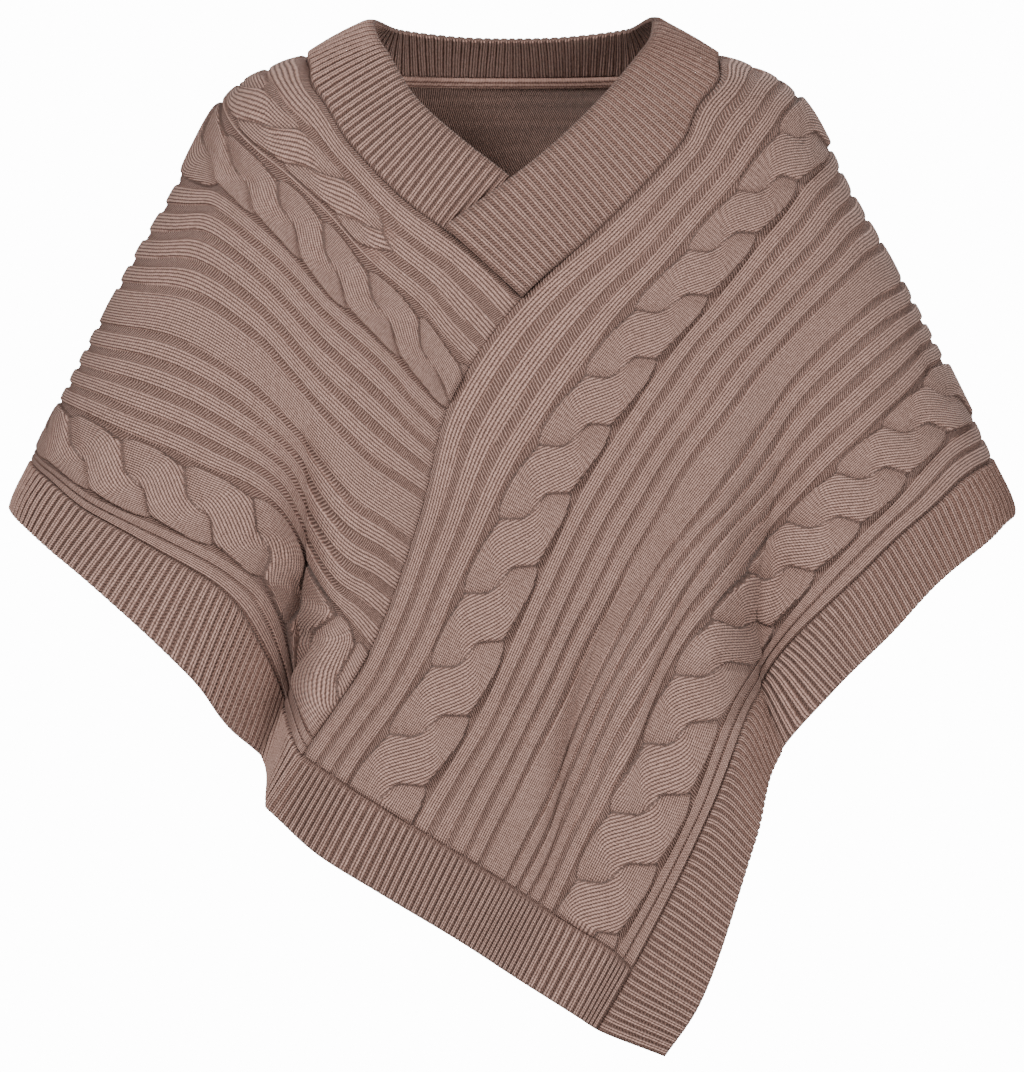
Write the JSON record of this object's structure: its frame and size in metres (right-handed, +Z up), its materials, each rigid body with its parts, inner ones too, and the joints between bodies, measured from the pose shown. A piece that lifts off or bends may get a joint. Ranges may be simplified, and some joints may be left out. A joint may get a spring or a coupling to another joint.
{
  "type": "knitted poncho sweater",
  "caption": "Asymmetric poncho sweater knitted sideways in ribs and rope cables, wrapped to a diagonal front seam, with a ribbed crossover collar and ribbed edges.",
  "frame": {"origin": "the middle of the neck, level with the points where the collar meets the shoulders, where the wearer's shoulders hold the garment", "axes": "+Z up, +X towards the left of the wearer (the right of the front view), the front faces -Y"},
  "size_m": [0.7404, 0.2841, 0.7662],
  "materials": {
    "knit": "soft matt cable knit in a dusty mauve-brown yarn",
    "ribbing": "soft matt one by one ribbing in the same yarn",
    "tape": "flat knitted tape in the same yarn"
  },
  "bodies": {
    "root": {"left_front_panel": "knit", "back_panel": "knit", "right_front_panel": "knit", "collar": "ribbing", "neck_tape": "tape", "left_edge_band": "ribbing", "back_edge_band": "ribbing", "right_edge_band": "ribbing", "hem_band": "ribbing"}
  },
  "joints": []
}
